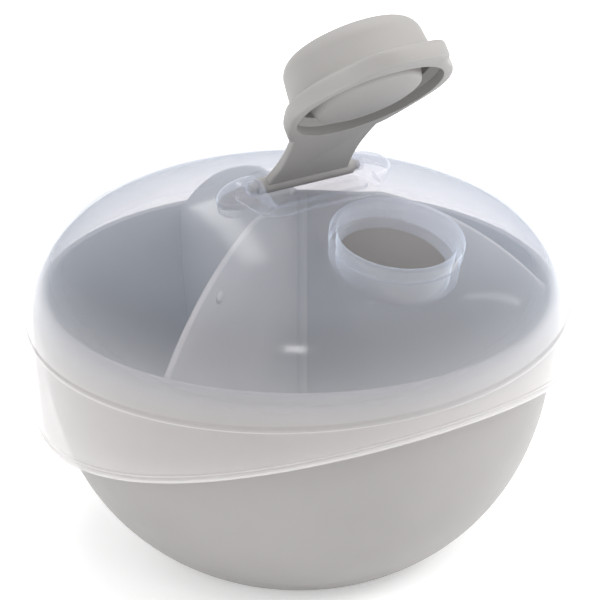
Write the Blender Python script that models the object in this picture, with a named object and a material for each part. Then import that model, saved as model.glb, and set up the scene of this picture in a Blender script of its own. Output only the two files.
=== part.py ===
"""Formula dispenser: a round bowl split into three compartments, closed by a
translucent domed lid that turns on the bowl. The lid carries a tilted pouring
spout and a flip cap on a short strap.

Row frame: origin at the centre of the foot, +Z up, spout towards -Y, the flip
cap's hinge axis along X. Lengths are metres.
"""
import math

import bmesh
import bpy
from mathutils import Matrix, Vector

MM = 0.001

# ---- bowl -----------------------------------------------------------------
RIM_Z = 60.0 * MM            # height of the bowl's rim
BOWL_R = 57.0 * MM           # outer radius at the rim
BOWL_FULL = 0.704            # share of the radius squared lost at the foot
BOWL_POWER = 2.72            # roundness of the wall
BOWL_WALL = 1.7 * MM
FLOOR = 2.2 * MM
BOWL_BEAD_Z = 52.6 * MM      # snap bead around the outside of the wall
BOWL_BEAD_R = 57.75 * MM

# ---- divider --------------------------------------------------------------
VANE_T = 1.5 * MM
VANE_FIRST = -153.0          # degrees, the first vane's direction
VANE_TOP = 24.0 * MM         # crown of the vanes above the rim
VANE_SPHERE = 72.3 * MM      # radius of the vanes' rounded top edge
VANE_FLAT = 21.7 * MM        # the crown is cut flat under the hinge pad
GAP = 0.3 * MM               # between neighbouring pieces
HUB_R = 2.0 * MM

# ---- lid ------------------------------------------------------------------
DOME_APEX = 25.5 * MM        # above the rim
DOME_SPHERE = 111.0 * MM
DOME_CAP_R = 46.0 * MM       # where the flat dome meets the rounded shoulder
LID_R = 60.2 * MM
LID_FOOT_R = 59.0 * MM       # outer radius at the deepest part of the skirt
LID_WALL = 1.5 * MM
SKIRT_MIN = 10.4 * MM        # skirt depth below the rim at the spout
SKIRT_MORE = 18.4 * MM       # extra depth around the back
SKIRT_SPAN = 110.0           # degrees from the shallow middle to full depth
SKIRT_MIDDLE = 4.0           # degrees from the spout to the shallow middle
LIFT_SWELL = 1.5 * MM        # rounded lifting lip at the back of the shoulder
LIP_T = 0.35 * MM            # rolled lip around the skirt's edge

# ---- spout ----------------------------------------------------------------
SPOUT_Y = -37.6 * MM         # centre of the spout's rim
SPOUT_Z = RIM_Z + 24.9 * MM
SPOUT_TILT = 12.1            # degrees, leaning outwards
SPOUT_R = 14.25 * MM
SPOUT_TUBE_R = 13.85 * MM
SPOUT_BORE = 12.55 * MM
SPOUT_BAND = 2.6 * MM        # height of the thicker rim

# ---- hinge ----------------------------------------------------------------
HINGE_Y = -2.3 * MM
HINGE_Z = RIM_Z + 26.2 * MM
BAR_R = 1.8 * MM
BAR_HALF = 12.2 * MM
PIN_R = 1.15 * MM
PIN_HALF = 14.0 * MM
PIN_BORE = 1.45 * MM
SLOT_HALF = 12.5 * MM        # inside faces of the two ears
POCKET_Z = RIM_Z + 23.7 * MM
POCKET_FRONT = -10.5 * MM
POCKET_BACK = 4.0 * MM
PAD_UNDER = RIM_Z + 22.4 * MM
STRAP_BED = RIM_Z + 24.75 * MM  # flat the shut strap lies over

# ---- flip cap -------------------------------------------------------------
CAP_OPEN = 52.5              # degrees the cap is swung open from the spout
CAP_SEAT = 0.3 * MM          # mouth plane above the spout's rim when shut
CAP_R = 15.9 * MM
CAP_H = 9.9 * MM
CAP_EDGE = 4.0 * MM          # rounding of the cap's crown
CAP_BORE = 14.65 * MM        # inside wall, around the spout
PLUG_R = 12.15 * MM
PLUG_DOWN = 3.6 * MM
PLUG_TAPER = 0.9 * MM        # lead-in that lets the plug swing into the bore
GROOVE_UP = 3.4 * MM
FLANGE_R = 18.4 * MM
FLANGE_REAR = 16.8 * MM      # flange radius on the hinge side
FLANGE_BORE = 16.2 * MM      # wider mouth below the cup's bore
FLANGE_TAB = 24.0 * MM       # reach of the thumb tab
TAB_HALF = 9.5 * MM
SKIRT_CAP = 3.9 * MM         # how far the cap's skirt hangs below its mouth
ROOT_BACK = -18.2 * MM       # where the flange runs into the strap
ROOT_HALF = 10.9 * MM
STRAP_T = 2.0 * MM
STRAP_WAIST = 9.4 * MM       # half width at the strap's middle
STRAP_FOOT = 10.8 * MM       # half width at the bar

SEG = 56                     # facets around the turned pieces


def clear_scene():
    for ob in list(bpy.data.objects):
        bpy.data.objects.remove(ob, do_unlink=True)


def material(name, colour, rough, metallic=0.0, alpha=1.0):
    mat = bpy.data.materials.new(name)
    mat.use_nodes = True
    bsdf = mat.node_tree.nodes["Principled BSDF"]
    bsdf.inputs["Base Color"].default_value = (*colour, 1.0)
    bsdf.inputs["Roughness"].default_value = rough
    bsdf.inputs["Metallic"].default_value = metallic
    bsdf.inputs["Alpha"].default_value = alpha
    mat.diffuse_color = (*colour, alpha)
    return mat


def new_object(name, bm, mat=None, cutter=False):
    bmesh.ops.remove_doubles(bm, verts=bm.verts, dist=1e-7)
    bmesh.ops.recalc_face_normals(bm, faces=bm.faces)
    mesh = bpy.data.meshes.new(name)
    bm.to_mesh(mesh)
    bm.free()
    ob = bpy.data.objects.new(name, mesh)
    bpy.context.scene.collection.objects.link(ob)
    if mat is not None:
        mesh.materials.append(mat)
    if cutter:
        ob.hide_render = True
        ob.display_type = 'WIRE'
    return ob


def revolve(profile, seg=SEG, closed=False):
    """A body turned about Z from (radius, height) points; points on the axis
    become one vertex. closed joins the last point back to the first."""
    bm = bmesh.new()
    rings = []
    for r, z in profile:
        if r < 1e-9:
            rings.append([bm.verts.new((0, 0, z))])
        else:
            rings.append([bm.verts.new((r * math.cos(2 * math.pi * i / seg),
                                        r * math.sin(2 * math.pi * i / seg), z))
                          for i in range(seg)])
    pairs = list(zip(rings, rings[1:]))
    if closed:
        pairs.append((rings[-1], rings[0]))
    for a, b in pairs:
        for i in range(seg):
            j = (i + 1) % seg
            if len(a) == 1 and len(b) == 1:
                break
            if len(a) == 1:
                bm.faces.new((a[0], b[i], b[j]))
            elif len(b) == 1:
                bm.faces.new((a[i], b[0], a[j]))
            else:
                bm.faces.new((a[i], b[i], b[j], a[j]))
    return bm


def prism(points, low, high, axis='Z'):
    """An outline extruded along an axis. points are (u, v): (x, y) for Z,
    (y, z) for X."""
    bm = bmesh.new()
    def at(u, v, w):
        return (u, v, w) if axis == 'Z' else (w, u, v)
    a = [bm.verts.new(at(u, v, low)) for u, v in points]
    b = [bm.verts.new(at(u, v, high)) for u, v in points]
    bm.faces.new(a)
    bm.faces.new(b)
    n = len(points)
    for i in range(n):
        bm.faces.new((a[i], a[(i + 1) % n], b[(i + 1) % n], b[i]))
    return bm


def bake(ob):
    """Replaces an object's mesh with what its modifiers make of it."""
    bpy.context.view_layer.update()
    deps = bpy.context.evaluated_depsgraph_get()
    mesh = bpy.data.meshes.new_from_object(ob.evaluated_get(deps))
    ob.modifiers.clear()
    ob.data = mesh


def combine(ob, other, operation, remove=True):
    mod = ob.modifiers.new(operation.lower(), 'BOOLEAN')
    mod.operation = operation
    mod.solver = 'EXACT'
    mod.object = other
    bake(ob)
    if remove:
        bpy.data.objects.remove(other, do_unlink=True)


def smooth(ob, angle=35.0):
    ob.data.shade_smooth()
    ob.data.set_sharp_from_angle(angle=math.radians(angle))


def rehang(ob, origin):
    """Moves an object's origin to a point and leaves its shape in place."""
    ob.data.transform(Matrix.Translation(-Vector(origin)))
    ob.location = origin


# ---- the bowl's curve -----------------------------------------------------
def bowl_radius(z):
    u = (RIM_Z - z) / RIM_Z
    return BOWL_R * math.sqrt(1.0 - BOWL_FULL * u ** BOWL_POWER)


def bowl_outline(steps, shrink=0.0):
    """Points up the outside of the bowl's wall, offset inwards by shrink."""
    out = []
    for i in range(steps + 1):
        z = RIM_Z * (i / steps) ** 1.35
        dz = 0.2 * MM
        lo, hi = max(z - dz, 0.0), min(z + dz, RIM_Z)
        slope = (bowl_radius(hi) - bowl_radius(lo)) / (hi - lo)
        n = math.hypot(1.0, slope)
        out.append((bowl_radius(z) - shrink / n, z + shrink * slope / n))
    return out


def inner_wall(shrink, floor, top):
    """Points up the inside of the bowl from the axis at floor to top."""
    raw = [p for p in bowl_outline(14, shrink)]
    pts = [(r, z) for r, z in raw if z > floor + 2.5 * MM and z < top]
    # a rounded corner between the floor and the wall
    r0, z0 = pts[0]
    corner = []
    start = (r0 - 7.0 * MM, floor)
    for k in range(1, 4):
        t = k / 4
        mid = (r0 - 1.6 * MM, floor)
        u = 1 - t
        corner.append((u * u * start[0] + 2 * u * t * mid[0] + t * t * r0,
                       u * u * start[1] + 2 * u * t * mid[1] + t * t * z0))
    last = [(BOWL_R - shrink, top)]
    return [(0.0, floor), start] + corner + pts + last


def make_bowl(mat):
    outer = bowl_outline(14)
    foot = [(0.0, 0.0), (outer[0][0] - 0.8 * MM, 0.0)]
    wall = [(r, z) for r, z in outer[1:] if z < BOWL_BEAD_Z - 1.5 * MM]
    bead = [(bowl_radius(BOWL_BEAD_Z - 1.2 * MM), BOWL_BEAD_Z - 1.2 * MM),
            (BOWL_BEAD_R, BOWL_BEAD_Z - 0.3 * MM),
            (BOWL_BEAD_R, BOWL_BEAD_Z + 0.3 * MM),
            (bowl_radius(BOWL_BEAD_Z + 1.2 * MM), BOWL_BEAD_Z + 1.2 * MM)]
    rim = [(BOWL_R, RIM_Z - 0.5 * MM), (BOWL_R - 0.5 * MM, RIM_Z),
           (BOWL_R - BOWL_WALL + 0.4 * MM, RIM_Z)]
    inside = inner_wall(BOWL_WALL, FLOOR, RIM_Z - 0.4 * MM)[::-1]
    edge = [(outer[0][0] + 0.1 * MM, 0.5 * MM)]
    bm = revolve(foot + edge + wall + bead + rim + inside, SEG)
    ob = new_object("bowl", bm, mat)
    smooth(ob)
    return ob


# ---- divider --------------------------------------------------------------
def vane_crown(r):
    z = VANE_TOP - (VANE_SPHERE - math.sqrt(VANE_SPHERE ** 2 - r * r))
    return RIM_Z + min(z, VANE_FLAT)


def make_divider(mat):
    shrink = BOWL_WALL + GAP
    side = inner_wall(shrink, FLOOR + GAP, RIM_Z - 2.6 * MM)
    reach = BOWL_R - shrink
    top = []
    for k in range(13):
        r = reach * (1 - k / 12)
        top.append((max(r, 0.0), vane_crown(r)))
    flat_r = math.sqrt(VANE_SPHERE ** 2 - (VANE_SPHERE - (VANE_TOP - VANE_FLAT)) ** 2)
    top = [p for p in top if p[0] > flat_r + 1e-4] + [(flat_r, RIM_Z + VANE_FLAT), (0.0, RIM_Z + VANE_FLAT)]
    body = new_object("divider", revolve(side + top, 96), mat)
    # the three vanes seen from above
    h = VANE_T / 2
    pts = []
    for k in range(3):
        a = math.radians(VANE_FIRST + 120 * k)
        d = Vector((math.cos(a), math.sin(a)))
        n = Vector((-d.y, d.x))
        far = 60 * MM
        for s, along in ((-1, far), (1, far)):
            pts.append(tuple(d * along + n * (s * h)))
        b = a + math.radians(60)
        pts.append((h / math.sin(math.radians(60)) * math.cos(b),
                    h / math.sin(math.radians(60)) * math.sin(b)))
    star = new_object("star_guide", prism(pts, -5 * MM, 100 * MM), cutter=True)
    hub = new_object("hub_guide", revolve([(0, -5 * MM), (HUB_R, -5 * MM), (HUB_R, 100 * MM), (0, 100 * MM)], 16), cutter=True)
    combine(star, hub, 'UNION')
    combine(body, star, 'INTERSECT')
    smooth(body, 30)
    return body


# ---- lid ------------------------------------------------------------------
def skirt_depth(phi):
    """Depth of the skirt's edge below the rim at direction phi (radians)."""
    a = math.degrees(phi) + 90.0 - SKIRT_MIDDLE
    a = abs((a + 180.0) % 360.0 - 180.0)
    s = min(a / SKIRT_SPAN, 1.0)
    return SKIRT_MIN + SKIRT_MORE * math.sin(math.pi / 2 * s) ** 2


def swell(phi, z):
    a = math.degrees(phi) - 90.0
    a = (a + 180.0) % 360.0 - 180.0
    up = (z - 4.0 * MM) / (9.0 * MM)
    return LIFT_SWELL * math.exp(-(a / 17.0) ** 2) * math.exp(-up * up)


def lid_profile(offset):
    """Dome and shoulder (radius, height above the rim), offset inwards."""
    pts = []
    for k in range(7):
        r = DOME_CAP_R * k / 6
        s = r / DOME_SPHERE
        z = DOME_APEX - (DOME_SPHERE - math.sqrt(DOME_SPHERE ** 2 - r * r))
        pts.append((r - offset * s, z - offset * math.sqrt(1 - s * s)))
    a0 = math.asin(DOME_CAP_R / DOME_SPHERE)
    rho = (LID_R - DOME_CAP_R) / (1 - math.sin(a0))
    rc = DOME_CAP_R - rho * math.sin(a0)
    zc = DOME_APEX - (DOME_SPHERE - math.sqrt(DOME_SPHERE ** 2 - DOME_CAP_R ** 2)) - rho * math.cos(a0)
    for k in range(1, 9):
        a = a0 + (math.pi / 2 - a0) * k / 8
        pts.append((rc + (rho - offset) * math.sin(a), zc + (rho - offset) * math.cos(a)))
    return pts


def skirt_radius(z, offset):
    t = max(0.0, min(1.0, (-z - 11.0 * MM) / (17.8 * MM)))
    return LID_R - (LID_R - LID_FOOT_R) * t ** 1.2 - offset


def lid_solid(name, offset, below, lip, seg=SEG):
    """The lid's outside (offset 0) or inside as one closed body. below is how
    far it runs past the skirt's edge."""
    bm = bmesh.new()
    prof = lid_profile(offset)
    apex = bm.verts.new((0, 0, RIM_Z + prof[0][1]))
    columns = []
    for i in range(seg):
        phi = 2 * math.pi * i / seg
        d = skirt_depth(phi) + below
        col = [(r + (swell(phi, z) if r > 20 * MM else 0.0), z) for r, z in prof[1:]]
        z0 = prof[-1][1]
        for f in (0.3, 0.65):
            z = z0 + (-d - z0) * f
            col.append((skirt_radius(z, offset), z))
        if lip:
            z = -d + 1.3 * MM
            col.append((skirt_radius(z, offset), z))
            col.append((skirt_radius(z, offset) + LIP_T, z - 0.5 * MM))
            col.append((skirt_radius(z, offset) + LIP_T, -d + 0.25 * MM))
            col.append((skirt_radius(z, offset) + LIP_T - 0.25 * MM, -d))
            col.append((skirt_radius(z, offset) - 3 * MM, -d))
        else:
            col.append((skirt_radius(-d, offset), -d))
            col.append((skirt_radius(-d, offset) - 3 * MM, -d))
        columns.append([bm.verts.new((r * math.cos(phi), r * math.sin(phi), RIM_Z + z)) for r, z in col])
    centre = bm.verts.new((0, 0, RIM_Z - SKIRT_MIN - below - 6 * MM))
    for i in range(seg):
        a, b = columns[i], columns[(i + 1) % seg]
        bm.faces.new((apex, a[0], b[0]))
        for k in range(len(a) - 1):
            bm.faces.new((a[k], a[k + 1], b[k + 1], b[k]))
        bm.faces.new((a[-1], centre, b[-1]))
    return new_object(name, bm, cutter=True)


def spout_frame():
    return Matrix.Translation((0, SPOUT_Y, SPOUT_Z)) @ Matrix.Rotation(math.radians(SPOUT_TILT), 4, 'X')


def put(ob, matrix):
    ob.data.transform(matrix)
    return ob


def ellipsoid(name, centre, half, seg=20, rings=10):
    bm = bmesh.new()
    bmesh.ops.create_uvsphere(bm, u_segments=seg, v_segments=rings, radius=1.0,
                              matrix=Matrix.Translation(centre) @ Matrix.Diagonal((*half, 1.0)) @ Matrix.Rotation(math.pi / 2, 4, 'Y'))
    return new_object(name, bm, cutter=True)


def rounded_box_outline(x0, x1, y0, y1, r, n=4):
    pts = []
    for cx, cy, a0 in ((x1 - r, y1 - r, 0), (x0 + r, y1 - r, 90), (x0 + r, y0 + r, 180), (x1 - r, y0 + r, 270)):
        for k in range(n + 1):
            a = math.radians(a0 + 90 * k / n)
            pts.append((cx + r * math.cos(a), cy + r * math.sin(a)))
    return pts


def make_lid(mat):
    lid = lid_solid("lid", 0.0, 0.0, True)
    lid.hide_render = False
    lid.display_type = 'TEXTURED'
    lid.data.materials.append(mat)
    # spout tube with its thicker rim
    tube = new_object("tube_guide", revolve([
        (0, -17 * MM), (SPOUT_TUBE_R + 0.1 * MM, -17 * MM), (SPOUT_TUBE_R, -SPOUT_BAND - 0.5 * MM),
        (SPOUT_R, -SPOUT_BAND), (SPOUT_R, -0.4 * MM), (SPOUT_R - 0.4 * MM, 0), (0, 0)], 48), cutter=True)
    combine(lid, put(tube, spout_frame()), 'UNION')
    # fairings that carry the two hinge ears
    for side in (-1, 1):
        boss = ellipsoid("boss_guide", (side * 13.3 * MM, HINGE_Y, HINGE_Z - 1.6 * MM), (8.6 * MM, 5.2 * MM, 4.0 * MM))
        combine(lid, boss, 'UNION')
        wing = new_object("wing_guide", prism([
            (HINGE_Y + 2.0 * MM, RIM_Z + 23 * MM), (HINGE_Y + 2.0 * MM, HINGE_Z + 1.9 * MM), (HINGE_Y - 1.2 * MM, HINGE_Z + 2.1 * MM),
            (POCKET_FRONT - 0.6 * MM, RIM_Z + 25.0 * MM), (POCKET_FRONT - 0.6 * MM, RIM_Z + 23 * MM)],
            side * (SLOT_HALF + 0.9 * MM) - 0.9 * MM, side * (SLOT_HALF + 0.9 * MM) + 0.9 * MM, 'X'), cutter=True)
        combine(lid, wing, 'UNION')
    # bore of the spout, the pocket between the ears, and the pin bores
    bore = new_object("bore_guide", revolve([
        (0, -26 * MM), (SPOUT_BORE - 0.35 * MM, -26 * MM), (SPOUT_BORE - 0.35 * MM, -4.2 * MM), (SPOUT_BORE, -3.6 * MM),
        (SPOUT_BORE, -0.5 * MM), (SPOUT_BORE + 0.5 * MM, 0), (SPOUT_BORE + 0.5 * MM, 4 * MM), (0, 4 * MM)], 48), cutter=True)
    combine(lid, put(bore, spout_frame()), 'DIFFERENCE')
    pocket = new_object("pocket_guide", prism(rounded_box_outline(
        -SLOT_HALF, SLOT_HALF, POCKET_FRONT, POCKET_BACK, 3.0 * MM), POCKET_Z, RIM_Z + 40 * MM), cutter=True)
    combine(lid, pocket, 'DIFFERENCE')
    gap = new_object("gap_guide", prism([
        (-16 * MM, STRAP_BED), (-16 * MM, RIM_Z + 40 * MM), (8 * MM, RIM_Z + 40 * MM), (8 * MM, STRAP_BED)],
        -SLOT_HALF, SLOT_HALF, 'X'), cutter=True)
    combine(lid, gap, 'DIFFERENCE')
    pin = new_object("pin_guide", revolve([(0, -14.6 * MM), (PIN_BORE, -14.6 * MM), (PIN_BORE, 14.6 * MM), (0, 14.6 * MM)], 16), cutter=True)
    put(pin, Matrix.Translation((0, HINGE_Y, HINGE_Z)) @ Matrix.Rotation(math.pi / 2, 4, 'Y'))
    combine(lid, pin, 'DIFFERENCE')
    # inside of the lid, with material left for the hinge pad
    hollow = lid_solid("hollow_guide", LID_WALL, 6 * MM, False)
    pad = new_object("pad_guide", prism(rounded_box_outline(
        -SLOT_HALF - 2.6 * MM, SLOT_HALF + 2.6 * MM, POCKET_FRONT - 1.4 * MM, POCKET_BACK + 1.4 * MM, 5 * MM),
        PAD_UNDER, RIM_Z + 40 * MM), cutter=True)
    combine(hollow, pad, 'DIFFERENCE')
    combine(lid, hollow, 'DIFFERENCE')
    smooth(lid)
    return lid


# ---- flip cap and its strap, one moulding ---------------------------------
def cap_frame():
    """Cap coordinates (x, s, h): s runs away from the hinge in the cap's
    mouth plane, h along the cap's axis towards its crown. The cap's shut
    place on the spout is swung open about the hinge."""
    a = math.radians(SPOUT_TILT)
    shut = Matrix(((-1, 0, 0, 0),
                   (0, -math.cos(a), -math.sin(a), SPOUT_Y - CAP_SEAT * math.sin(a)),
                   (0, -math.sin(a), math.cos(a), SPOUT_Z + CAP_SEAT * math.cos(a)),
                   (0, 0, 0, 1)))
    hinge = Vector((0, HINGE_Y, HINGE_Z))
    swing = Matrix.Translation(hinge) @ Matrix.Rotation(math.radians(-CAP_OPEN), 4, 'X') @ Matrix.Translation(-hinge)
    return swing @ shut


def make_strap():
    """The strap and its bar, in cap coordinates."""
    foot = cap_frame().inverted() @ Vector((0, HINGE_Y, HINGE_Z))
    head = Vector((0, -15.6 * MM, -2.7 * MM))
    d = head - foot
    length = d.length
    ang = math.atan2(d.z, d.y)
    n = 10
    left, right = [], []
    for k in range(n + 1):
        t = k / n
        ends = STRAP_FOOT + (ROOT_HALF - STRAP_FOOT) * t
        w = ends - (ends - STRAP_WAIST) * math.sin(math.pi * t)
        left.append((-w, -0.2 * MM + length * t))
        right.append((w, -0.2 * MM + length * t))
    plate = new_object("strap_guide", prism(left + right[::-1], -STRAP_T / 2, STRAP_T / 2), cutter=True)
    put(plate, Matrix.Translation(foot) @ Matrix.Rotation(ang, 4, 'X'))
    bar = new_object("bar_guide", revolve([
        (0, -PIN_HALF), (PIN_R - 0.3 * MM, -PIN_HALF), (PIN_R, -PIN_HALF + 0.4 * MM), (PIN_R, -BAR_HALF),
        (BAR_R - 0.3 * MM, -BAR_HALF), (BAR_R, -BAR_HALF + 0.4 * MM), (BAR_R, BAR_HALF - 0.4 * MM), (BAR_R - 0.3 * MM, BAR_HALF),
        (PIN_R, BAR_HALF), (PIN_R, PIN_HALF - 0.4 * MM), (PIN_R - 0.3 * MM, PIN_HALF), (0, PIN_HALF)], 20), cutter=True)
    put(bar, Matrix.Translation(foot) @ Matrix.Rotation(math.pi / 2, 4, 'Y'))
    combine(plate, bar, 'UNION')
    return plate


def ray_out(shape, c, s):
    """Distance from the origin to a convex outline along (c, s)."""
    best = 0.0
    n = len(shape)
    for i in range(n):
        (x0, y0), (x1, y1) = shape[i], shape[(i + 1) % n]
        ex, ey = x1 - x0, y1 - y0
        den = c * ey - s * ex
        if abs(den) < 1e-15:
            continue
        t = (x0 * ey - y0 * ex) / den
        u = (x0 * s - y0 * c) / den
        if t > 0 and -1e-9 <= u <= 1 + 1e-9:
            best = max(best, t)
    return best


def flange_outline(count, grow=0.0):
    """The cap's flange from above, in (x, s): a disc, a thumb tab and a
    root that runs into the strap."""
    tab = rounded_box_outline(-TAB_HALF, TAB_HALF, -4 * MM, FLANGE_TAB, 6.0 * MM, 6)
    root = [(-ROOT_HALF, ROOT_BACK), (ROOT_HALF, ROOT_BACK), (16.2 * MM, -8 * MM), (8 * MM, 4 * MM),
            (-8 * MM, 4 * MM), (-16.2 * MM, -8 * MM)]
    radii = []
    for i in range(count):
        a = 2 * math.pi * (i + 0.5) / count
        c, s = math.cos(a), math.sin(a)
        u = max(0.0, min(1.0, (s + 0.75) / 0.75))
        disc = FLANGE_REAR + (FLANGE_R - FLANGE_REAR) * u * u * (3 - 2 * u)
        radii.append(max(disc, ray_out(tab, c, s), ray_out(root, c, s)))
    for _ in range(2):
        radii = [0.25 * radii[i - 1] + 0.5 * radii[i] + 0.25 * radii[(i + 1) % count] for i in range(count)]
    return [((r + grow) * math.cos(2 * math.pi * (i + 0.5) / count),
             (r + grow) * math.sin(2 * math.pi * (i + 0.5) / count)) for i, r in enumerate(radii)]


def make_cap(mat):
    bm = prism(flange_outline(56), -SKIRT_CAP, 0.0)
    for v in bm.verts:
        past = (v.co.y - 14 * MM) / (10 * MM)
        if past > 0:
            v.co.z -= 1.5 * MM * past * past
    cap = new_object("flip_cap", bm, mat)
    crown = [(0.0, CAP_H)]
    top_r = CAP_R - 0.6 * MM
    for k in range(6):
        a = math.pi / 2 * (1 - k / 5)
        crown.append((top_r - CAP_EDGE + CAP_EDGE * math.cos(a), CAP_H - CAP_EDGE + CAP_EDGE * math.sin(a)))
    cup = new_object("cup_guide", revolve(crown + [(CAP_R, -1.5 * MM), (0.0, -1.5 * MM)], 56), cutter=True)
    combine(cap, cup, 'UNION')
    combine(cap, make_strap(), 'UNION')
    groove = new_object("groove_guide", revolve([
        (PLUG_R, GROOVE_UP), (PLUG_R, -8 * MM), (FLANGE_BORE, -8 * MM), (FLANGE_BORE, -1.8 * MM), (CAP_BORE, -0.6 * MM), (CAP_BORE, GROOVE_UP)],
        48, closed=True), cutter=True)
    combine(cap, groove, 'DIFFERENCE')
    trim = new_object("trim_guide", revolve([
        (PLUG_R - PLUG_TAPER, -PLUG_DOWN), (PLUG_R + PLUG_TAPER / 3, -PLUG_DOWN + 2.9 * MM),
        (PLUG_R + PLUG_TAPER / 3, -9 * MM), (PLUG_R - PLUG_TAPER, -9 * MM)],
        48, closed=True), cutter=True)
    combine(cap, trim, 'DIFFERENCE')
    flat = new_object("flat_guide", revolve([(0, -PLUG_DOWN), (PLUG_R + 0.4 * MM, -PLUG_DOWN), (PLUG_R + 0.4 * MM, -9 * MM), (0, -9 * MM)], 48), cutter=True)
    combine(cap, flat, 'DIFFERENCE')
    put(cap, cap_frame())
    smooth(cap)
    rehang(cap, (0, HINGE_Y, HINGE_Z))
    return cap


def main():
    clear_scene()
    shell = material("bowl_grey", (0.44, 0.42, 0.40), 0.42)
    inner = material("divider_grey", (0.47, 0.45, 0.43), 0.42)
    clear = material("lid_clear", (0.86, 0.85, 0.86), 0.22, alpha=0.45)
    grey = material("cap_grey", (0.46, 0.44, 0.43), 0.45)
    make_bowl(shell)
    make_divider(inner)
    make_lid(clear)
    make_cap(grey)


main()
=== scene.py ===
import math

import bmesh
import bpy
import numpy as np
from mathutils import Matrix, Vector


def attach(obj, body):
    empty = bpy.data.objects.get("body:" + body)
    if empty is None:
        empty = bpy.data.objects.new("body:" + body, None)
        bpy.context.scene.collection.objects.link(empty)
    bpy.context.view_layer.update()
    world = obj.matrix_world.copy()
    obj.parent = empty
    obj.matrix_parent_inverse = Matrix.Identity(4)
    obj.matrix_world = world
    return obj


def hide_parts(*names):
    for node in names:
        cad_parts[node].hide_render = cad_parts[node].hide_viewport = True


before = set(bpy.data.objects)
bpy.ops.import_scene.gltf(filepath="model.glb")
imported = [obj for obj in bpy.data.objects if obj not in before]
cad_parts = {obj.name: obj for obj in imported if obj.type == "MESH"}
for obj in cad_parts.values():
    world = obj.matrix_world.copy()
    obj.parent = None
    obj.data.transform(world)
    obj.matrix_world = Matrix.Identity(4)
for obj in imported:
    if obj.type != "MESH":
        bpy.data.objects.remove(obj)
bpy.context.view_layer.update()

MM = 0.001
# ---- dimensions of the part ------------------------------------------------
RIM_Z = 60.0 * MM
BOWL_R, BOWL_FULL, BOWL_POWER, BOWL_WALL = 57.0 * MM, 0.704, 2.72, 1.7 * MM
FLOOR, BEAD_Z, BEAD_R, GAP = 2.2 * MM, 52.6 * MM, 57.75 * MM, 0.3 * MM
VANE_T, VANE_FIRST, VANE_TOP = 1.5 * MM, -153.0, 24.0 * MM
VANE_SPHERE, VANE_FLAT, HUB_R = 72.3 * MM, 21.7 * MM, 2.0 * MM
DOME_APEX, DOME_SPHERE, DOME_CAP_R = 25.5 * MM, 111.0 * MM, 46.0 * MM
LID_R, LID_FOOT_R, LID_WALL = 60.2 * MM, 59.0 * MM, 1.5 * MM
SKIRT_MIN, SKIRT_MORE, SKIRT_SPAN, SKIRT_MIDDLE = 10.4 * MM, 18.4 * MM, 110.0, 4.0
LIFT_SWELL, LIP_T = 1.5 * MM, 0.35 * MM
SPOUT_Y, SPOUT_Z, SPOUT_TILT = -37.6 * MM, RIM_Z + 24.9 * MM, 12.1
SPOUT_R, SPOUT_TUBE_R, SPOUT_BORE, SPOUT_BAND = 14.25 * MM, 13.85 * MM, 12.55 * MM, 2.6 * MM
HINGE_Y, HINGE_Z = -2.3 * MM, RIM_Z + 26.2 * MM
BAR_R, BAR_HALF, PIN_R, PIN_HALF, PIN_BORE = 1.8 * MM, 12.2 * MM, 1.15 * MM, 14.0 * MM, 1.45 * MM
SLOT_HALF, POCKET_Z, POCKET_FRONT, POCKET_BACK = 12.5 * MM, RIM_Z + 23.7 * MM, -10.5 * MM, 4.0 * MM
PAD_UNDER = RIM_Z + 22.4 * MM
CAP_OPEN, CAP_SEAT, STRAP_BED = 52.5, 0.3 * MM, RIM_Z + 24.75 * MM
CAP_R, CAP_H, CAP_EDGE, CAP_BORE = 15.9 * MM, 9.9 * MM, 4.0 * MM, 14.65 * MM
PLUG_R, PLUG_DOWN, GROOVE_UP = 12.15 * MM, 3.6 * MM, 3.4 * MM
FLANGE_R, FLANGE_BORE, FLANGE_TAB, TAB_HALF = 18.4 * MM, 16.2 * MM, 24.0 * MM, 9.5 * MM
SKIRT_CAP, ROOT_BACK, ROOT_HALF, STRAP_FOOT = 3.9 * MM, -18.2 * MM, 10.9 * MM, 10.8 * MM
STRAP_T, STRAP_WAIST, FLANGE_REAR = 2.0 * MM, 9.4 * MM, 16.8 * MM
SEG = 240


# ---- mesh helpers ----------------------------------------------------------
def to_object(name, bm, mats=()):
    bmesh.ops.remove_doubles(bm, verts=bm.verts, dist=1e-7)
    bmesh.ops.recalc_face_normals(bm, faces=bm.faces)
    mesh = bpy.data.meshes.new(name)
    bm.to_mesh(mesh)
    bm.free()
    ob = bpy.data.objects.new(name, mesh)
    bpy.context.scene.collection.objects.link(ob)
    for m in mats:
        mesh.materials.append(m)
    return ob


def revolve(profile, seg, closed=False):
    bm = bmesh.new()
    rings = []
    for r, z in profile:
        if r < 1e-9:
            rings.append([bm.verts.new((0, 0, z))])
        else:
            rings.append([bm.verts.new((r * math.cos(2 * math.pi * i / seg), r * math.sin(2 * math.pi * i / seg), z))
                          for i in range(seg)])
    pairs = list(zip(rings, rings[1:]))
    if closed:
        pairs.append((rings[-1], rings[0]))
    for a, b in pairs:
        if len(a) == 1 and len(b) == 1:
            continue
        for i in range(seg):
            j = (i + 1) % seg
            if len(a) == 1:
                bm.faces.new((a[0], b[i], b[j]))
            elif len(b) == 1:
                bm.faces.new((a[i], b[0], a[j]))
            else:
                bm.faces.new((a[i], b[i], b[j], a[j]))
    return bm


def prism(points, low, high, axis='Z'):
    bm = bmesh.new()

    def at(u, v, w):
        return (u, v, w) if axis == 'Z' else (w, u, v)
    a = [bm.verts.new(at(u, v, low)) for u, v in points]
    b = [bm.verts.new(at(u, v, high)) for u, v in points]
    bm.faces.new(a)
    bm.faces.new(b)
    n = len(points)
    for i in range(n):
        bm.faces.new((a[i], a[(i + 1) % n], b[(i + 1) % n], b[i]))
    return bm


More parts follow.
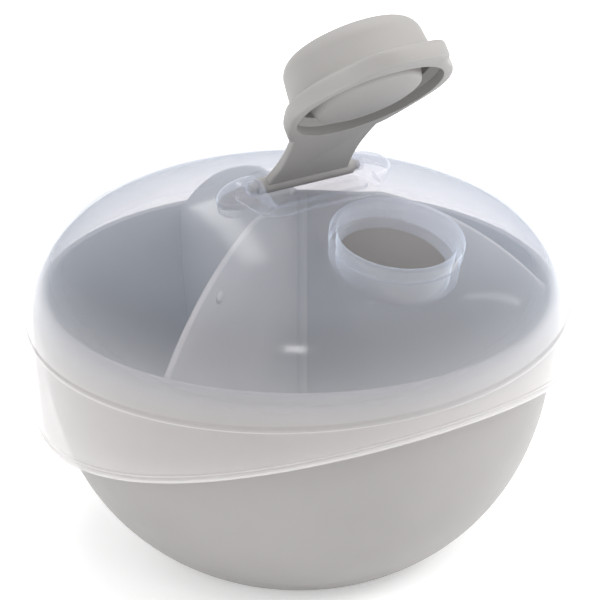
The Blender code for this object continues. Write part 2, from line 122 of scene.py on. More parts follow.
def round_edges(bm, offset, segments=3, angle=40.0):
    """Rounds every edge of a mesh that is sharper than angle."""
    bmesh.ops.remove_doubles(bm, verts=bm.verts, dist=1e-7)
    bmesh.ops.recalc_face_normals(bm, faces=bm.faces)
    edges = [e for e in bm.edges if len(e.link_faces) == 2 and e.calc_face_angle(0.0) > math.radians(angle)]
    bmesh.ops.bevel(bm, geom=edges, offset=offset, segments=segments, profile=0.5, affect='EDGES', clamp_overlap=True)
    return bm


def fillet(points, radius, n=5):
    """Rounds each inner corner of an open polyline by up to radius."""
    out = [points[0]]
    for a, b, c in zip(points, points[1:], points[2:]):
        va, vc = Vector(a) - Vector(b), Vector(c) - Vector(b)
        la, lc = va.length, vc.length
        if la < 1e-9 or lc < 1e-9:
            continue
        turn = va.angle(vc)
        if turn > math.radians(172):
            out.append(b)
            continue
        cut = min(radius / math.tan(turn / 2), la * 0.45, lc * 0.45)
        p, q = Vector(b) + va / la * cut, Vector(b) + vc / lc * cut
        for k in range(n + 1):
            t = k / n
            m = p * (1 - t) ** 2 + Vector(b) * 2 * t * (1 - t) + q * t * t
            out.append((m.x, m.y))
    out.append(points[-1])
    return out


def bake(ob):
    bpy.context.view_layer.update()
    deps = bpy.context.evaluated_depsgraph_get()
    mesh = bpy.data.meshes.new_from_object(ob.evaluated_get(deps))
    ob.modifiers.clear()
    ob.data = mesh


def combine(ob, others, operation):
    """One exact Boolean of ob with a list of bodies, which are then removed."""
    group = bpy.data.collections.new("operands")
    bpy.context.scene.collection.children.link(group)
    for o in others:
        for c in list(o.users_collection):
            c.objects.unlink(o)
        group.objects.link(o)
    mod = ob.modifiers.new("cut", 'BOOLEAN')
    mod.operation = operation
    mod.solver = 'EXACT'
    mod.operand_type = 'COLLECTION'
    mod.collection = group
    bake(ob)
    for o in others:
        bpy.data.objects.remove(o, do_unlink=True)
    bpy.data.collections.remove(group)


def smooth(ob, angle=35.0):
    ob.data.shade_smooth()
    ob.data.set_sharp_from_angle(angle=math.radians(angle))


def put(ob, matrix):
    ob.data.transform(matrix)
    return ob


def along_x(point):
    return Matrix.Translation(point) @ Matrix.Rotation(math.pi / 2, 4, 'Y')


# ---- materials -------------------------------------------------------------
def nodes_of(name):
    mat = bpy.data.materials.new(name)
    mat.use_nodes = True
    nt = mat.node_tree
    return mat, nt, nt.nodes["Principled BSDF"]


def noise(nt, scale, detail=3.0, rough=0.5, coord=None):
    n = nt.nodes.new("ShaderNodeTexNoise")
    n.inputs["Scale"].default_value = scale
    n.inputs["Detail"].default_value = detail
    n.inputs["Roughness"].default_value = rough
    if coord is not None:
        nt.links.new(coord, n.inputs["Vector"])
    return n


def ramp(nt, fac, stops):
    r = nt.nodes.new("ShaderNodeValToRGB")
    while len(r.color_ramp.elements) > 1:
        r.color_ramp.elements.remove(r.color_ramp.elements[0])
    for i, (pos, col) in enumerate(stops):
        e = r.color_ramp.elements[0] if i == 0 else r.color_ramp.elements.new(pos)
        e.position = pos
        e.color = (*col, 1.0) if len(col) == 3 else col
    nt.links.new(fac, r.inputs["Fac"])
    return r


def moulded(name, colour, rough, grain=0.06, spread=0.035):
    """Satin moulded plastic: faint cloudiness of colour and gloss and a fine
    eroded grain."""
    mat, nt, b = nodes_of(name)
    tc = nt.nodes.new("ShaderNodeTexCoord")
    cloud = noise(nt, 38.0, 4.0, 0.55, tc.outputs["Object"])
    lo = tuple(c * (1 - spread) for c in colour)
    hi = tuple(min(1.0, c * (1 + spread)) for c in colour)
    tint = ramp(nt, cloud.outputs["Fac"], [(0.32, lo), (0.68, hi)])
    nt.links.new(tint.outputs["Color"], b.inputs["Base Color"])
    shine = noise(nt, 90.0, 3.0, 0.5, tc.outputs["Object"])
    rr = nt.nodes.new("ShaderNodeMapRange")
    rr.inputs["To Min"].default_value = rough - 0.05
    rr.inputs["To Max"].default_value = rough + 0.06
    nt.links.new(shine.outputs["Fac"], rr.inputs["Value"])
    nt.links.new(rr.outputs["Result"], b.inputs["Roughness"])
    fine = noise(nt, 2600.0, 2.0, 0.6, tc.outputs["Object"])
    bump = nt.nodes.new("ShaderNodeBump")
    bump.inputs["Strength"].default_value = grain
    bump.inputs["Distance"].default_value = 0.0002
    nt.links.new(fine.outputs["Fac"], bump.inputs["Height"])
    nt.links.new(bump.outputs["Normal"], b.inputs["Normal"])
    b.inputs["IOR"].default_value = 1.49
    return mat


def milky(name, milk, milk_low, base, deep, z_lo, z_hi, rough, shine=0.9):
    """Translucent polypropylene: a clear path through the wall mixed with a
    milky scattering one, the milkier the longer the way through the wall. The
    skirt (below z_lo) is milkier and less blue than the dome (above z_hi)."""
    mat, nt, b = nodes_of(name)
    out = nt.nodes["Material Output"]
    tc = nt.nodes.new("ShaderNodeTexCoord")
    sep = nt.nodes.new("ShaderNodeSeparateXYZ")
    nt.links.new(tc.outputs["Object"], sep.inputs["Vector"])
    share = nt.nodes.new("ShaderNodeMapRange")
    share.interpolation_type = 'SMOOTHSTEP'
    share.inputs["From Min"].default_value = z_lo
    share.inputs["From Max"].default_value = z_hi
    share.inputs["To Min"].default_value = deep
    share.inputs["To Max"].default_value = base
    nt.links.new(sep.outputs["Z"], share.inputs["Value"])
    height = nt.nodes.new("ShaderNodeMapRange")
    height.inputs["From Min"].default_value = z_lo
    height.inputs["From Max"].default_value = z_hi
    nt.links.new(sep.outputs["Z"], height.inputs["Value"])
    hue = ramp(nt, height.outputs["Result"], [(0.0, milk_low), (1.0, milk)])
    cloud = noise(nt, 26.0, 4.0, 0.55, tc.outputs["Object"])
    wob = nt.nodes.new("ShaderNodeMapRange")
    wob.inputs["To Min"].default_value = 0.86
    wob.inputs["To Max"].default_value = 1.14
    nt.links.new(cloud.outputs["Fac"], wob.inputs["Value"])
    depth = nt.nodes.new("ShaderNodeMath")
    depth.operation = 'MULTIPLY'
    nt.links.new(share.outputs["Result"], depth.inputs[0])
    nt.links.new(wob.outputs["Result"], depth.inputs[1])
    # way through the wall: optical depth over the cosine of the view angle
    lw = nt.nodes.new("ShaderNodeLayerWeight")
    lw.inputs["Blend"].default_value = 0.5
    cosine = nt.nodes.new("ShaderNodeMath")
    cosine.operation = 'SUBTRACT'
    cosine.inputs[0].default_value = 1.06
    nt.links.new(lw.outputs["Facing"], cosine.inputs[1])
    over = nt.nodes.new("ShaderNodeMath")
    over.operation = 'DIVIDE'
    nt.links.new(depth.outputs[0], over.inputs[0])
    nt.links.new(cosine.outputs[0], over.inputs[1])
    power = nt.nodes.new("ShaderNodeMath")
    power.operation = 'POWER'
    power.inputs[0].default_value = math.exp(-1.0)
    nt.links.new(over.outputs[0], power.inputs[1])
    clear = nt.nodes.new("ShaderNodeBsdfTransparent")
    clear.inputs["Color"].default_value = (0.988, 0.970, 0.968, 1)
    diff = nt.nodes.new("ShaderNodeBsdfDiffuse")
    nt.links.new(hue.outputs["Color"], diff.inputs["Color"])
    trans = nt.nodes.new("ShaderNodeBsdfTranslucent")
    nt.links.new(hue.outputs["Color"], trans.inputs["Color"])
    body = nt.nodes.new("ShaderNodeMixShader")
    body.inputs["Fac"].default_value = 0.55
    nt.links.new(diff.outputs[0], body.inputs[1])
    nt.links.new(trans.outputs[0], body.inputs[2])
    wall = nt.nodes.new("ShaderNodeMixShader")
    nt.links.new(power.outputs[0], wall.inputs["Fac"])
    nt.links.new(body.outputs[0], wall.inputs[1])
    nt.links.new(clear.outputs[0], wall.inputs[2])
    fr = nt.nodes.new("ShaderNodeFresnel")
    fr.inputs["IOR"].default_value = 1.45
    gain = nt.nodes.new("ShaderNodeMath")
    gain.operation = 'MULTIPLY'
    gain.inputs[1].default_value = shine
    gain.use_clamp = True
    nt.links.new(fr.outputs[0], gain.inputs[0])
    # the wall's far side lets light out and doesn't mirror it back
    geo = nt.nodes.new("ShaderNodeNewGeometry")
    front = nt.nodes.new("ShaderNodeMath")
    front.operation = 'SUBTRACT'
    front.inputs[0].default_value = 1.0
    nt.links.new(geo.outputs["Backfacing"], front.inputs[1])
    once = nt.nodes.new("ShaderNodeMath")
    once.operation = 'MULTIPLY'
    nt.links.new(gain.outputs[0], once.inputs[0])
    nt.links.new(front.outputs[0], once.inputs[1])
    gloss = nt.nodes.new("ShaderNodeBsdfGlossy")
    gloss.inputs["Roughness"].default_value = rough
    gloss.inputs["Color"].default_value = (1, 1, 1, 1)
    ripple = noise(nt, 60.0, 2.0, 0.5, tc.outputs["Object"])
    bump = nt.nodes.new("ShaderNodeBump")
    bump.inputs["Strength"].default_value = 0.05
    bump.inputs["Distance"].default_value = 0.0015
    nt.links.new(ripple.outputs["Fac"], bump.inputs["Height"])
    nt.links.new(bump.outputs["Normal"], gloss.inputs["Normal"])
    top = nt.nodes.new("ShaderNodeMixShader")
    nt.links.new(once.outputs[0], top.inputs["Fac"])
    nt.links.new(wall.outputs[0], top.inputs[1])
    nt.links.new(gloss.outputs[0], top.inputs[2])
    nt.links.new(top.outputs[0], out.inputs["Surface"])
    nt.nodes.remove(b)
    return mat


BOWL_MAT = moulded("bowl_satin", (0.278, 0.268, 0.262), 0.42)
VANE_MAT = moulded("divider_satin", (0.37, 0.36, 0.35), 0.46)
CAP_MAT = moulded("cap_matt", (0.315, 0.305, 0.296), 0.50, grain=0.09)
LID_MAT = milky("lid_milky", (0.70, 0.79, 0.92), (0.82, 0.815, 0.815), 0.135, 0.38, RIM_Z - 6 * MM, RIM_Z + 12 * MM, 0.13)


# ---- bowl ------------------------------------------------------------------
def bowl_radius(z):
    u = (RIM_Z - z) / RIM_Z
    return BOWL_R * math.sqrt(1.0 - BOWL_FULL * u ** BOWL_POWER)


def bowl_outline(steps, shrink=0.0):
    out = []
    for i in range(steps + 1):
        z = RIM_Z * (i / steps) ** 1.35
        dz = 0.2 * MM
        lo, hi = max(z - dz, 0.0), min(z + dz, RIM_Z)
        slope = (bowl_radius(hi) - bowl_radius(lo)) / (hi - lo)
        n = math.hypot(1.0, slope)
        out.append((bowl_radius(z) - shrink / n, z + shrink * slope / n))
    return out


def inner_wall(shrink, floor, top, steps=56):
    raw = bowl_outline(steps, shrink)
    pts = [(r, z) for r, z in raw if z > floor + 2.5 * MM and z < top - 0.2 * MM]
    r0, z0 = pts[0]
    start, mid = (r0 - 7.0 * MM, floor), (r0 - 1.6 * MM, floor)
    corner = []
    for k in range(1, 12):
        t = k / 12
        u = 1 - t
        corner.append((u * u * start[0] + 2 * u * t * mid[0] + t * t * r0, u * u * start[1] + 2 * u * t * mid[1] + t * t * z0))
    return [(0.0, floor), start] + corner + pts + [(BOWL_R - shrink, top)]


def make_bowl():
    outer = bowl_outline(56)
    foot = [(0.0, 0.0), (outer[0][0] - 1.0 * MM, 0.0), (outer[0][0] - 0.5 * MM, 0.08 * MM), (outer[0][0] - 0.1 * MM, 0.3 * MM)]
    wall = []
    n = 110
    for i in range(n + 1):
        z = 0.6 * MM + (RIM_Z - 1.1 * MM) * (i / n)
        bump = (BEAD_R - bowl_radius(BEAD_Z)) * math.exp(-((z - BEAD_Z) / (0.7 * MM)) ** 2)
        wall.append((bowl_radius(z) + bump, z))
    rim = []
    for k in range(7):
        a = math.pi / 2 * k / 6
        rim.append((BOWL_R - 0.5 * MM + 0.5 * MM * math.cos(a), RIM_Z - 0.5 * MM + 0.5 * MM * math.sin(a)))
    for k in range(1, 7):
        a = math.pi / 2 * (1 + k / 6)
        rim.append((BOWL_R - BOWL_WALL + 0.5 * MM + 0.5 * MM * math.cos(a), RIM_Z - 0.5 * MM + 0.5 * MM * math.sin(a)))
    inside = inner_wall(BOWL_WALL, FLOOR, RIM_Z - 0.6 * MM)[::-1]
    ob = to_object("bowl_fine", revolve(foot + wall + rim + inside, SEG), [BOWL_MAT])
    smooth(ob, 60)
    return ob


# ---- divider ---------------------------------------------------------------
def vane_crown(r):
    z = VANE_TOP - (VANE_SPHERE - math.sqrt(VANE_SPHERE ** 2 - r * r))
    return RIM_Z + min(z, VANE_FLAT)


def make_divider():
    shrink = BOWL_WALL + GAP
    side = inner_wall(shrink, FLOOR + GAP, RIM_Z - 2.6 * MM, 40)
    reach = BOWL_R - shrink
    top = [(reach * (1 - k / 48), vane_crown(reach * (1 - k / 48))) for k in range(49)]
    outline = side[1:] + top
    bm = bmesh.new()
    for k in range(3):
        part = prism([(0.0, FLOOR + GAP)] + outline[:-1] + [(0.0, RIM_Z + VANE_FLAT)], -VANE_T / 2, VANE_T / 2, 'Z')
        # (r, z, t) -> along the vane, up, across
        round_edges(part, 0.5 * MM, 3, 40)
        m = Matrix.Rotation(math.radians(VANE_FIRST + 120 * k), 4, 'Z') @ Matrix(((1, 0, 0, 0), (0, 0, -1, 0), (0, 1, 0, 0), (0, 0, 0, 1)))
        part.transform(m)
        mesh = bpy.data.meshes.new("part")
        part.to_mesh(mesh)
        part.free()
        bm.from_mesh(mesh)
        bpy.data.meshes.remove(mesh)
    pip = revolve([(0, 0), (1.35 * MM, 0), (1.3 * MM, 0.25 * MM), (1.0 * MM, 0.5 * MM), (0.55 * MM, 0.62 * MM), (0, 0.65 * MM)], 32)
    pip.transform(Matrix.Rotation(math.radians(VANE_FIRST), 4, 'Z') @ Matrix.Translation((34.5 * MM, VANE_T / 2 - 0.02 * MM, RIM_Z + 10 * MM))
                  @ Matrix.Rotation(-math.pi / 2, 4, 'X'))
    mesh = bpy.data.meshes.new("part")
    pip.to_mesh(mesh)
    pip.free()
    bm.from_mesh(mesh)
    bpy.data.meshes.remove(mesh)
    hub = revolve([(0, FLOOR + GAP), (HUB_R, FLOOR + GAP), (HUB_R, RIM_Z + VANE_FLAT - 0.5 * MM),
                   (HUB_R - 0.15 * MM, RIM_Z + VANE_FLAT - 0.15 * MM), (HUB_R - 0.5 * MM, RIM_Z + VANE_FLAT), (0, RIM_Z + VANE_FLAT)], 40)
    mesh = bpy.data.meshes.new("part")
    hub.to_mesh(mesh)
    hub.free()
    bm.from_mesh(mesh)
    bpy.data.meshes.remove(mesh)
    bmesh.ops.recalc_face_normals(bm, faces=bm.faces)
    mesh = bpy.data.meshes.new("divider_fine")
    bm.to_mesh(mesh)
    bm.free()
    ob = bpy.data.objects.new("divider_fine", mesh)
    bpy.context.scene.collection.objects.link(ob)
    mesh.materials.append(VANE_MAT)
    smooth(ob, 40)
    return ob


# ---- lid -------------------------------------------------------------------
def skirt_depth(phi):
    a = math.degrees(phi) + 90.0 - SKIRT_MIDDLE
    a = abs((a + 180.0) % 360.0 - 180.0)
    return SKIRT_MIN + SKIRT_MORE * math.sin(math.pi / 2 * min(a / SKIRT_SPAN, 1.0)) ** 2


def swell(phi, z):
    a = (math.degrees(phi) - 90.0 + 180.0) % 360.0 - 180.0
    up = (z - 4.0 * MM) / (9.0 * MM)
    return LIFT_SWELL * math.exp(-(a / 17.0) ** 2) * math.exp(-up * up)


A0 = math.asin(DOME_CAP_R / DOME_SPHERE)
RHO = (LID_R - DOME_CAP_R) / (1 - math.sin(A0))
RC = DOME_CAP_R - RHO * math.sin(A0)
ZC = DOME_APEX - (DOME_SPHERE - math.sqrt(DOME_SPHERE ** 2 - DOME_CAP_R ** 2)) - RHO * math.cos(A0)


def skirt_radius(z, offset):
    t = max(0.0, min(1.0, (-z - 11.0 * MM) / (17.8 * MM)))
    return LID_R - (LID_R - LID_FOOT_R) * t ** 1.2 - offset


def side_radius(z, offset):
    """Radius of the shoulder or skirt at a height above the rim."""
    if z >= ZC:
        c = min(1.0, (z - ZC) / (RHO - offset))
        return RC + (RHO - offset) * math.sqrt(1 - c * c)
    return skirt_radius(z, offset)


def ridge_height(phi):
    t = phi + math.radians(123.0)
    return (-4.3 + 2.3 * math.sin(t) - 1.9 * max(0.0, math.cos(t))) * MM


def lid_shell(name, offset, below, outside, seg):
    bm = bmesh.new()
    apex = bm.verts.new((0, 0, RIM_Z + DOME_APEX - offset))
    columns = []
    for i in range(seg):
        phi = 2 * math.pi * i / seg
        d = skirt_depth(phi) + below
        col = []
        for k in range(1, 15):
            r = DOME_CAP_R * k / 14
            s = r / DOME_SPHERE
            z = DOME_APEX - (DOME_SPHERE - math.sqrt(DOME_SPHERE ** 2 - r * r))
            col.append((r - offset * s, z - offset * math.sqrt(1 - s * s)))
        zr = ridge_height(phi)
        if outside:
            a1 = math.acos(min(1.0, (zr + 2.0 * MM - ZC) / RHO))
            for k in range(1, 19):
                a = A0 + (a1 - A0) * k / 18
                col.append((RC + RHO * math.sin(a), ZC + RHO * math.cos(a)))
            rows = []
            for k in range(1, 23):
                z = zr + 2.0 * MM - 4.0 * MM * k / 22
                w = abs(z - zr) / (0.55 * MM)
                rows.append((side_radius(z, 0.0) + 0.32 * MM * math.exp(-w ** 4), z))
            col += rows
            z0 = zr - 2.0 * MM
            z1 = -d + 2.4 * MM
            for k in range(1, 9):
                z = z0 + (z1 - z0) * k / 8
                col.append((side_radius(z, 0.0), z))
            # fine line above the rolled lip, then the lip itself
            for dz, out in ((2.1, 0.0), (1.95, 0.10), (1.75, 0.16), (1.55, 0.10), (1.4, 0.0), (1.2, 0.0), (1.05, 0.10), (0.9, 0.24),
                            (0.7, 0.33), (0.5, 0.35), (0.3, 0.33), (0.14, 0.25), (0.04, 0.10), (0.0, -0.1)):
                z = -d + dz * MM
                col.append((side_radius(z, 0.0) + out * MM, z))
            col.append((side_radius(-d, 0.0) - 3 * MM, -d))
        else:
            for k in range(1, 17):
                a = A0 + (math.pi / 2 - A0) * k / 16
                col.append((RC + (RHO - offset) * math.sin(a), ZC + (RHO - offset) * math.cos(a)))
            for k in range(1, 7):
                z = ZC + (-d - ZC) * k / 6
                col.append((skirt_radius(z, offset), z))
            col.append((skirt_radius(-d, offset) - 3 * MM, -d))
        ring = []
        for r, z in col:
            if r > 20 * MM and z > -20 * MM:
                r += swell(phi, z)
            ring.append(bm.verts.new((r * math.cos(phi), r * math.sin(phi), RIM_Z + z)))
        columns.append(ring)
    centre = bm.verts.new((0, 0, RIM_Z - SKIRT_MIN - below - 6 * MM))
    for i in range(seg):
        a, b = columns[i], columns[(i + 1) % seg]
        bm.faces.new((apex, a[0], b[0]))
        for k in range(len(a) - 1):
            bm.faces.new((a[k], a[k + 1], b[k + 1], b[k]))
        bm.faces.new((a[-1], centre, b[-1]))
    return to_object(name, bm)


def spout_frame():
    return Matrix.Translation((0, SPOUT_Y, SPOUT_Z)) @ Matrix.Rotation(math.radians(SPOUT_TILT), 4, 'X')


def rounded_box_outline(x0, x1, y0, y1, r, n=8):
    pts = []
    for cx, cy, a0 in ((x1 - r, y1 - r, 0), (x0 + r, y1 - r, 90), (x0 + r, y0 + r, 180), (x1 - r, y0 + r, 270)):
        for k in range(n + 1):
            a = math.radians(a0 + 90 * k / n)
            pts.append((cx + r * math.cos(a), cy + r * math.sin(a)))
    return pts


def make_lid():
    lid = lid_shell("lid_fine", 0.0, 0.0, True, SEG)
    lid.data.materials.append(LID_MAT)
    tube_profile = [(0, -17 * MM), (SPOUT_TUBE_R + 0.15 * MM, -17 * MM), (SPOUT_TUBE_R, -SPOUT_BAND - 0.8 * MM),
                    (SPOUT_R, -SPOUT_BAND), (SPOUT_R, -0.05 * MM), (0, -0.0 * MM)]
    tube_profile = [tube_profile[0]] + fillet(tube_profile[1:-1] + [(0, 0)], 0.45 * MM, 5)
    adds = [put(to_object("tube", revolve(tube_profile, 96)), spout_frame())]
    for side in (-1, 1):
        bm = bmesh.new()
        bmesh.ops.create_uvsphere(bm, u_segments=40, v_segments=20, radius=1.0,
                                  matrix=Matrix.Translation((side * 13.3 * MM, HINGE_Y, HINGE_Z - 1.6 * MM))
                                  @ Matrix.Diagonal((8.6 * MM, 5.2 * MM, 4.0 * MM, 1.0)) @ Matrix.Rotation(math.pi / 2, 4, 'Y'))
        adds.append(to_object("boss", bm))
        wing = prism([(HINGE_Y + 2.0 * MM, RIM_Z + 23 * MM), (HINGE_Y + 2.0 * MM, HINGE_Z + 1.9 * MM), (HINGE_Y - 1.2 * MM, HINGE_Z + 2.1 * MM),
                      (POCKET_FRONT - 0.6 * MM, RIM_Z + 25.0 * MM), (POCKET_FRONT - 0.6 * MM, RIM_Z + 23 * MM)],
                     side * (SLOT_HALF + 0.9 * MM) - 0.9 * MM, side * (SLOT_HALF + 0.9 * MM) + 0.9 * MM, 'X')
        adds.append(to_object("wing", round_edges(wing, 0.35 * MM, 3)))
    for o in adds:
        combine(lid, [o], 'UNION')
    cuts = [put(to_object("bore", revolve([
        (0, -26 * MM), (SPOUT_BORE - 0.35 * MM, -26 * MM), (SPOUT_BORE - 0.35 * MM, -4.3 * MM), (SPOUT_BORE - 0.3 * MM, -4.1 * MM),
        (SPOUT_BORE - 0.05 * MM, -3.7 * MM), (SPOUT_BORE, -3.5 * MM), (SPOUT_BORE, -0.6 * MM), (SPOUT_BORE + 0.12 * MM, -0.3 * MM),
        (SPOUT_BORE + 0.5 * MM, 0.02 * MM), (SPOUT_BORE + 0.5 * MM, 4 * MM), (0, 4 * MM)], 96)), spout_frame())]
    pocket = prism(rounded_box_outline(-SLOT_HALF, SLOT_HALF, POCKET_FRONT, POCKET_BACK, 3.0 * MM), POCKET_Z, RIM_Z + 40 * MM)
    cuts.append(to_object("pocket", pocket))
    gap = prism([(-16 * MM, STRAP_BED), (-16 * MM, RIM_Z + 40 * MM), (8 * MM, RIM_Z + 40 * MM), (8 * MM, STRAP_BED)],
                -SLOT_HALF, SLOT_HALF, 'X')
    cuts.append(to_object("gap", gap))
    cuts.append(put(to_object("pin", revolve([(0, -14.6 * MM), (PIN_BORE, -14.6 * MM), (PIN_BORE, 14.6 * MM), (0, 14.6 * MM)], 32)),
                    along_x((0, HINGE_Y, HINGE_Z))))
    for o in cuts:
        combine(lid, [o], 'DIFFERENCE')
    hollow = lid_shell("hollow", LID_WALL, 6 * MM, False, SEG)
    pad = to_object("pad", prism(rounded_box_outline(
        -SLOT_HALF - 2.6 * MM, SLOT_HALF + 2.6 * MM, POCKET_FRONT - 1.4 * MM, POCKET_BACK + 1.4 * MM, 5 * MM), PAD_UNDER, RIM_Z + 40 * MM))
    combine(hollow, [pad], 'DIFFERENCE')
    combine(lid, [hollow], 'DIFFERENCE')
    smooth(lid, 32)
    return lid


# ---- strap and cap ---------------------------------------------------------
def cap_frame():
    a = math.radians(SPOUT_TILT)
    shut = Matrix(((-1, 0, 0, 0),
                   (0, -math.cos(a), -math.sin(a), SPOUT_Y - CAP_SEAT * math.sin(a)),
                   (0, -math.sin(a), math.cos(a), SPOUT_Z + CAP_SEAT * math.cos(a)),
                   (0, 0, 0, 1)))
    hinge = Vector((0, HINGE_Y, HINGE_Z))
    swing = Matrix.Translation(hinge) @ Matrix.Rotation(math.radians(-CAP_OPEN), 4, 'X') @ Matrix.Translation(-hinge)
    return swing @ shut


def make_strap():
    foot = cap_frame().inverted() @ Vector((0, HINGE_Y, HINGE_Z))
    head = Vector((0, -15.6 * MM, -2.7 * MM))
    d = head - foot
    length = d.length
    ang = math.atan2(d.z, d.y)
    n = 32
    left, right = [], []
    for k in range(n + 1):
        t = k / n
        ends = STRAP_FOOT + (ROOT_HALF - STRAP_FOOT) * t
        w = ends - (ends - STRAP_WAIST) * math.sin(math.pi * t)
        left.append((-w, -0.2 * MM + length * t))
        right.append((w, -0.2 * MM + length * t))
    plate = to_object("strap", round_edges(prism(left + right[::-1], -STRAP_T / 2, STRAP_T / 2), 0.45 * MM, 3))
    put(plate, Matrix.Translation(foot) @ Matrix.Rotation(ang, 4, 'X'))
    bar = to_object("bar", revolve([
        (0, -PIN_HALF), (PIN_R - 0.3 * MM, -PIN_HALF), (PIN_R, -PIN_HALF + 0.4 * MM), (PIN_R, -BAR_HALF),
        (BAR_R - 0.45 * MM, -BAR_HALF), (BAR_R - 0.12 * MM, -BAR_HALF + 0.15 * MM), (BAR_R, -BAR_HALF + 0.5 * MM),
        (BAR_R, BAR_HALF - 0.5 * MM), (BAR_R - 0.12 * MM, BAR_HALF - 0.15 * MM), (BAR_R - 0.45 * MM, BAR_HALF),
        (PIN_R, BAR_HALF), (PIN_R, PIN_HALF - 0.4 * MM), (PIN_R - 0.3 * MM, PIN_HALF), (0, PIN_HALF)], 48))
    combine(plate, [put(bar, along_x(foot))], 'UNION')
    return plate


def ray_out(shape, c, s):
    best = 0.0
    n = len(shape)
    for i in range(n):
        (x0, y0), (x1, y1) = shape[i], shape[(i + 1) % n]
        ex, ey = x1 - x0, y1 - y0
        den = c * ey - s * ex
        if abs(den) < 1e-15:
            continue
        t = (x0 * ey - y0 * ex) / den
        u = (x0 * s - y0 * c) / den
        if t > 0 and -1e-9 <= u <= 1 + 1e-9:
            best = max(best, t)
    return best


def flange_radii(count):
    tab = rounded_box_outline(-TAB_HALF, TAB_HALF, -4 * MM, FLANGE_TAB, 6.0 * MM, 8)
    root = [(-ROOT_HALF, ROOT_BACK), (ROOT_HALF, ROOT_BACK), (16.2 * MM, -8 * MM), (8 * MM, 4 * MM),
            (-8 * MM, 4 * MM), (-16.2 * MM, -8 * MM)]
    radii = []
    for i in range(count):
        a = 2 * math.pi * (i + 0.5) / count
        c, s = math.cos(a), math.sin(a)
        u = max(0.0, min(1.0, (s + 0.75) / 0.75))
        disc = FLANGE_REAR + (FLANGE_R - FLANGE_REAR) * u * u * (3 - 2 * u)
        radii.append(max(disc, ray_out(tab, c, s), ray_out(root, c, s)))
    # the same rounding as a coarse outline smoothed twice
    width = count / 56
    for _ in range(2):
        k = int(round(width))
        radii = [0.25 * radii[(i - k) % count] + 0.5 * radii[i] + 0.25 * radii[(i + k) % count] for i in range(count)]
    for _ in range(6):
        radii = [0.25 * radii[i - 1] + 0.5 * radii[i] + 0.25 * radii[(i + 1) % count] for i in range(count)]
    return radii


def make_cap():
    count = 224
    radii = flange_radii(count)
    bm = bmesh.new()
    rings = []
    stack = [(-0.55, -SKIRT_CAP / MM), (-0.2, -SKIRT_CAP / MM + 0.12), (0.0, -SKIRT_CAP / MM + 0.45), (0.0, -1.15), (-0.06, -0.75),
             (-0.25, -0.38), (-0.55, -0.12), (-1.0, 0.0)]
    for grow, h in stack:
        ring = []
        for i, r in enumerate(radii):
            a = 2 * math.pi * (i + 0.5) / count
            x, y = (r + grow * MM) * math.cos(a), (r + grow * MM) * math.sin(a)
            z = h * MM
            past = (y - 14 * MM) / (10 * MM)
            if past > 0:
                z -= 1.5 * MM * past * past
            ring.append(bm.verts.new((x, y, z)))
        rings.append(ring)
    for a, b in zip(rings, rings[1:]):
        for i in range(count):
            j = (i + 1) % count
            bm.faces.new((a[i], a[j], b[j], b[i]))
    # the flange's top and bottom run inwards as rings, so its tab can droop
    for ring, level in ((rings[-1], 0.0), (rings[0], -SKIRT_CAP)):
        last = ring
        for f in (0.9, 0.8, 0.6, 0.3):
            now = []
            for i, r in enumerate(radii):
                a = 2 * math.pi * (i + 0.5) / count
                x, y = r * f * math.cos(a), r * f * math.sin(a)
                z = level
                past = (y - 14 * MM) / (10 * MM)
                if past > 0:
                    z -= 1.5 * MM * past * past
                now.append(bm.verts.new((x, y, z)))
            for i in range(count):
                j = (i + 1) % count
                bm.faces.new((last[i], last[j], now[j], now[i]))
            last = now
        mid = bm.verts.new((0, 0, level))
        for i in range(count):
            bm.faces.new((last[i], last[(i + 1) % count], mid))
    cap = to_object("cap_fine", bm, [CAP_MAT])
    crown = [(0.0, CAP_H)]
    top_r = CAP_R - 0.6 * MM
    for k in range(15):
        a = math.pi / 2 * (1 - k / 14)
        crown.append((top_r - CAP_EDGE + CAP_EDGE * math.cos(a), CAP_H - CAP_EDGE + CAP_EDGE * math.sin(a)))
    foot = [(CAP_R - 0.05 * MM, 1.0 * MM), (CAP_R + 0.05 * MM, 0.6 * MM), (CAP_R + 0.25 * MM, 0.3 * MM), (CAP_R + 0.6 * MM, 0.05 * MM),
            (CAP_R + 0.8 * MM, -0.4 * MM), (CAP_R, -1.5 * MM), (0.0, -1.5 * MM)]
    cup = to_object("cup", revolve(crown + foot, 128))
    combine(cap, [cup], 'UNION')
    combine(cap, [make_strap()], 'UNION')
    groove = to_object("groove", revolve([
        (PLUG_R, GROOVE_UP), (PLUG_R, -PLUG_DOWN + 2.2 * MM), (PLUG_R - 0.25 * MM, -PLUG_DOWN + 1.1 * MM), (PLUG_R - 0.6 * MM, -PLUG_DOWN + 0.35 * MM),
        (PLUG_R - 1.3 * MM, -PLUG_DOWN), (PLUG_R - 1.3 * MM, -8 * MM), (FLANGE_BORE, -8 * MM), (FLANGE_BORE, -1.9 * MM), (FLANGE_BORE - 0.3 * MM, -1.6 * MM),
        (CAP_BORE, -0.6 * MM), (CAP_BORE, GROOVE_UP)], 128, closed=True))
    combine(cap, [groove], 'DIFFERENCE')
    flat = to_object("flat", revolve([(0, -PLUG_DOWN), (PLUG_R + 0.4 * MM, -PLUG_DOWN), (PLUG_R + 0.4 * MM, -9 * MM), (0, -9 * MM)], 96))
    combine(cap, [flat], 'DIFFERENCE')
    put(cap, cap_frame())
    smooth(cap, 40)
    return cap


bowl = make_bowl()
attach(bowl, "base"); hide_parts("bowl")
divider = make_divider()
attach(divider, "base"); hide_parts("divider")
lid = make_lid()
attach(lid, "lid"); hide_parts("lid")
cap = make_cap()
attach(cap, "cap"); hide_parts("flip_cap")


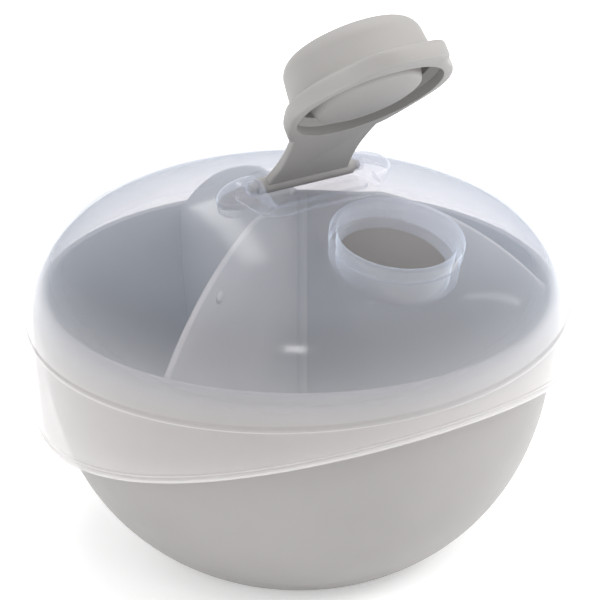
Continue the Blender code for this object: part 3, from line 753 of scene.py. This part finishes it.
# ---- stage -----------------------------------------------------------------
def stage_material():
    mat, nt, b = nodes_of("floor_white")
    tc = nt.nodes.new("ShaderNodeTexCoord")
    n = noise(nt, 3.0, 3.0, 0.5, tc.outputs["Object"])
    r = ramp(nt, n.outputs["Fac"], [(0.3, (0.90, 0.90, 0.90)), (0.7, (0.93, 0.93, 0.93))])
    nt.links.new(r.outputs["Color"], b.inputs["Base Color"])
    b.inputs["Roughness"].default_value = 0.8
    b.inputs["Specular IOR Level"].default_value = 0.1
    # a light table: the floor glows a little, so the contact shadow is faint
    b.inputs["Emission Color"].default_value = (1.0, 1.0, 1.0, 1)
    b.inputs["Emission Strength"].default_value = 0.32
    return mat


bm = bmesh.new()
bmesh.ops.create_grid(bm, x_segments=2, y_segments=2, size=6.0)
floor = to_object("floor", bm, [stage_material()])

scene = bpy.context.scene
scene.view_settings.view_transform = 'Standard'
scene.view_settings.look = 'None'
scene.view_settings.exposure = 0.0
scene.cycles.transparent_max_bounces = 32
scene.cycles.max_bounces = 14

world = bpy.data.worlds.new("studio")
scene.world = world
world.use_nodes = True
wn = world.node_tree
bg = wn.nodes["Background"]
bg.inputs["Color"].default_value = (1.0, 1.0, 1.0, 1)
bg.inputs["Strength"].default_value = 0.52


def area(name, place, target, size, power, colour=(1, 1, 1), shape='RECTANGLE', size_y=None):
    light = bpy.data.lights.new(name, 'AREA')
    light.shape = shape
    light.size = size
    light.size_y = size_y or size
    light.energy = power
    light.color = colour
    ob = bpy.data.objects.new(name, light)
    scene.collection.objects.link(ob)
    ob.location = place
    ob.rotation_mode = 'QUATERNION'
    ob.rotation_quaternion = (Vector(target) - Vector(place)).to_track_quat('-Z', 'Y')
    return ob


area("top_soft", (0.1, 0.1, 0.95), (0, 0, 0.05), 0.9, 5.4).visible_glossy = False
area("right_soft", (0.75, -0.45, 0.45), (0, 0, 0.05), 0.6, 3.9).visible_glossy = False
area("left_soft", (-0.8, -0.1, 0.5), (0, 0, 0.06), 0.55, 2.3).visible_glossy = False
area("front_soft", (0.30, -0.55, 0.85), (0, 0, 0.06), 0.5, 3.8).visible_glossy = False
area("back_soft", (-0.30, 0.80, 0.55), (0, 0, 0.07), 0.6, 1.8).visible_glossy = False
area("small_soft", (-0.35, -0.5, 0.9), (0, 0, 0.08), 0.12, 0.5)
area("strip_back", (0.25, 0.75, 0.85), (0, 0, 0.08), 0.08, 0.5, size_y=0.6)
area("strip_right", (0.85, -0.15, 0.6), (0, 0, 0.08), 0.07, 0.25, size_y=0.5)

# ---- camera ----------------------------------------------------------------
az, el = math.radians(-33.0), math.radians(24.7922)
v = Vector((math.sin(az) * math.cos(el), -math.cos(az) * math.cos(el), math.sin(el)))
right = Vector((math.cos(az), math.sin(az), 0))
up = v.cross(right)
F_PX = 2686.818
look = (-v * F_PX + right * 1.3 + up * 45.04).normalized()
cam_data = bpy.data.cameras.new("camera")
cam_data.sensor_width = 36.0
cam_data.lens = F_PX * 36.0 / 600.0
cam_data.clip_start = 0.05
cam_data.clip_end = 50.0
camera = bpy.data.objects.new("camera", cam_data)
scene.collection.objects.link(camera)
camera.location = Vector((0, 0, 45 * MM)) + v * 0.6
camera.rotation_mode = 'QUATERNION'
camera.rotation_quaternion = look.to_track_quat('-Z', 'Y')
scene.camera = camera
